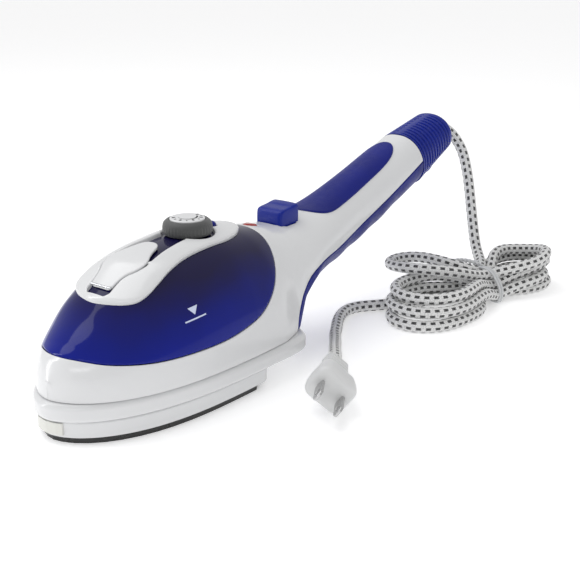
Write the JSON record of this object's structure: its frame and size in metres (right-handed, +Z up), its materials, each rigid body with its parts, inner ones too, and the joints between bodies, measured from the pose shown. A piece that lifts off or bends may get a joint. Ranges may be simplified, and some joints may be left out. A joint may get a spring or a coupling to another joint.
{
  "type": "garment steamer",
  "caption": "Hand-held garment steamer with a water tank over a flat heated sole, turning dial, steam button, filler flap, ribbed handle cap and mains cord.",
  "frame": {"origin": "on the surface the sole rests on, under the middle of the steamer's length and width", "axes": "+Z up from the sole, -Y towards the nose, +Y towards the handle's end, +X towards the side where the cord lies"},
  "size_m": [0.1464, 0.3739, 0.1099],
  "materials": {
    "white_shell": "glossy moulded white",
    "blue_tank": "tinted clear plastic",
    "blue_soft_touch": "satin soft touch",
    "blue_gloss": "glossy moulded blue",
    "grey_soft_touch": "satin grey",
    "red_lens": "clear red",
    "sole_coating": "smooth non-stick black",
    "cast_aluminium": "as cast",
    "bright_steel": "plated",
    "dark_rubber": "matt",
    "pale_nylon": "natural nylon",
    "cord_braid": "woven braid with dark flecks",
    "cord_tie_white": "coated wire tie",
    "plug_white": "moulded satin white"
  },
  "bodies": {
    "steamer": {"soleplate": "sole_coating", "skirt_ring": "white_shell", "base_flange": "white_shell", "front_catch": "pale_nylon", "heating_element": "bright_steel", "steam_chamber_cover": "cast_aluminium", "thermostat": "bright_steel", "thermal_fuse": "pale_nylon", "water_tank": "blue_tank", "tank_saddle": "white_shell", "shaft_sleeve": "pale_nylon", "dial_pointer": "blue_soft_touch", "housing": "white_shell", "under_grip": "blue_soft_touch", "grip_pad": "blue_soft_touch", "button_spring": "bright_steel", "pump_cylinder": "pale_nylon", "suction_tube": "pale_nylon", "delivery_tube": "pale_nylon", "indicator_lens": "red_lens", "indicator_lamp": "red_lens", "end_cap": "blue_gloss", "cord_gland": "dark_rubber", "cord_clamp": "pale_nylon", "terminal_block": "pale_nylon", "cord_drop": "cord_braid", "cord_hank": "cord_braid", "cord_lead": "cord_braid", "cord_tie": "cord_tie_white", "plug_body": "plug_white", "plug_collar": "plug_white", "plug_blade_left": "bright_steel", "plug_blade_right": "bright_steel"},
    "dial": {"dial_knob": "grey_soft_touch", "dial_cap": "white_shell", "dial_shaft": "pale_nylon"},
    "flap": {"filler_flap": "white_shell", "flap_hinge_pin": "bright_steel", "filler_seal": "dark_rubber"},
    "button": {"steam_button": "blue_gloss", "pump_piston": "dark_rubber"}
  },
  "joints": [
    {"name": "dial_turn", "type": "hinge", "parent": "steamer", "child": "dial", "pos_m": [0, -0.0725, 0.086], "axis": [0, 0, 1], "range_deg": [-200, 70]},
    {"name": "flap_hinge", "type": "hinge", "parent": "steamer", "child": "flap", "pos_m": [0, -0.1335, 0.0672], "axis": [1, 0, 0], "range_deg": [0, 100]},
    {"name": "steam_press", "type": "slide", "parent": "steamer", "child": "button", "axis": [0, 0, -1], "range_m": [0, 0.004], "stiffness_N_per_m": 900, "springref_m": -0.002, "deforming": ["button_spring"]}
  ]
}
